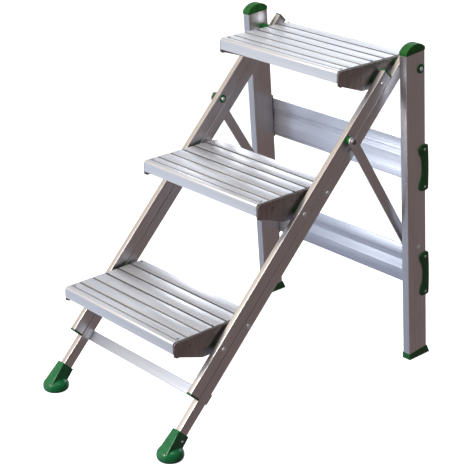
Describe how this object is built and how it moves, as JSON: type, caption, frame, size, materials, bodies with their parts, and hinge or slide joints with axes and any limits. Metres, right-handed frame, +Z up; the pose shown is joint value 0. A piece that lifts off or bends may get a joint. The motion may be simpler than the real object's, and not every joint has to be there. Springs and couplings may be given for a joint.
{
  "type": "step ladder",
  "caption": "Folding aluminium step ladder with deep ribbed treads between double stiles, a leg frame joined by cross panels, side struts and plastic feet.",
  "frame": {"origin": "on the floor, in the middle of the bounding box of the standing ladder", "axes": "+X to the climber's right, +Y from the climber towards the rear legs, +Z up"},
  "size_m": [0.5182, 0.7956, 0.7736],
  "materials": {
    "aluminium": "mill finish extrusion, faint lengthwise drawing lines",
    "brushed_aluminium": "bright brushed extrusion",
    "green_plastic": "moulded, semi-gloss",
    "zinc": "zinc plated steel"
  },
  "bodies": {
    "rear_frame": {"rear_leg_right": "aluminium", "rear_leg_left": "aluminium", "leg_top_cap_right": "green_plastic", "leg_top_cap_left": "green_plastic", "leg_foot_right": "green_plastic", "leg_foot_left": "green_plastic", "upper_panel_bumper_right": "green_plastic", "upper_panel_bumper_left": "green_plastic", "lower_panel_bumper_right": "green_plastic", "lower_panel_bumper_left": "green_plastic", "leg_pivot_bolt_right": "zinc", "leg_pivot_bolt_left": "zinc", "leg_pivot_spacer_right": "green_plastic", "leg_pivot_spacer_left": "green_plastic", "strut_lower_bolt_right": "zinc", "strut_lower_bolt_left": "zinc", "strut_lower_spacer_right": "green_plastic", "strut_lower_spacer_left": "green_plastic", "upper_cross_panel": "brushed_aluminium", "lower_cross_panel": "brushed_aluminium"},
    "climbing_frame": {"rear_rail_right": "aluminium", "rear_rail_left": "aluminium", "rail_foot_right": "green_plastic", "rail_foot_left": "green_plastic", "rear_rail_top_plug_right": "green_plastic", "rear_rail_top_plug_left": "green_plastic", "bottom_tread_rear_bolt_right": "zinc", "bottom_tread_rear_bolt_left": "zinc", "middle_tread_rear_bolt_right": "zinc", "middle_tread_rear_bolt_left": "zinc", "rail_crossbar": "brushed_aluminium"},
    "top_tread": {"top_tread_deck": "brushed_aluminium", "top_tread_end_plate_right": "aluminium", "top_tread_end_plate_left": "aluminium"},
    "middle_tread": {"middle_tread_deck": "brushed_aluminium", "middle_tread_end_plate_right": "aluminium", "middle_tread_end_plate_left": "aluminium"},
    "bottom_tread": {"bottom_tread_deck": "brushed_aluminium", "bottom_tread_end_plate_right": "aluminium", "bottom_tread_end_plate_left": "aluminium"},
    "front_rails": {"front_rail_right": "aluminium", "front_rail_left": "aluminium", "front_rail_top_plug_right": "green_plastic", "front_rail_top_plug_left": "green_plastic", "front_rail_bottom_plug_right": "green_plastic", "front_rail_bottom_plug_left": "green_plastic", "bottom_tread_front_bolt_right": "zinc", "bottom_tread_front_bolt_left": "zinc", "middle_tread_front_bolt_right": "zinc", "middle_tread_front_bolt_left": "zinc", "top_tread_front_bolt_right": "zinc", "top_tread_front_bolt_left": "zinc", "strut_upper_spacer_right": "green_plastic", "strut_upper_spacer_left": "green_plastic", "strut_upper_bolt_right": "zinc", "strut_upper_bolt_left": "zinc"},
    "struts": {"strut_right": "aluminium", "strut_left": "aluminium", "strut_upper_nut_right": "zinc", "strut_upper_nut_left": "zinc"}
  },
  "joints": [
    {"name": "fold", "type": "hinge", "parent": "rear_frame", "child": "climbing_frame", "pos_m": [0, 0.3075, 0.71574], "axis": [1, 0, 0], "range_deg": [0, 49]},
    {"name": "top_tread_tilt", "type": "hinge", "parent": "climbing_frame", "child": "top_tread", "pos_m": [0, 0.3075, 0.71574], "axis": [1, 0, 0], "range_deg": [-134.5, 0]},
    {"name": "middle_tread_tilt", "type": "hinge", "parent": "climbing_frame", "child": "middle_tread", "pos_m": [0, 0.07574, 0.47574], "axis": [1, 0, 0], "range_deg": [-134.5, 0]},
    {"name": "bottom_tread_tilt", "type": "hinge", "parent": "climbing_frame", "child": "bottom_tread", "pos_m": [0, -0.15603, 0.23574], "axis": [1, 0, 0], "range_deg": [-134.5, 0]},
    {"name": "front_rail_shift", "type": "hinge", "parent": "top_tread", "child": "front_rails", "pos_m": [0, 0.23915, 0.68513], "axis": [1, 0, 0], "range_deg": [0, 134.5]},
    {"name": "strut_swing", "type": "hinge", "parent": "rear_frame", "child": "struts", "pos_m": [0, 0.33281, 0.2888], "axis": [1, 0, 0], "range_deg": [-26.22, 0]}
  ],
  "couplings": [
    {"joint": "top_tread_tilt", "follows": "fold", "ratio": -2.7347},
    {"joint": "middle_tread_tilt", "follows": "fold", "ratio": -2.7347},
    {"joint": "bottom_tread_tilt", "follows": "fold", "ratio": -2.7347},
    {"joint": "front_rail_shift", "follows": "fold", "ratio": 2.7347},
    {"joint": "strut_swing", "follows": "fold", "ratio": -0.52486}
  ]
}
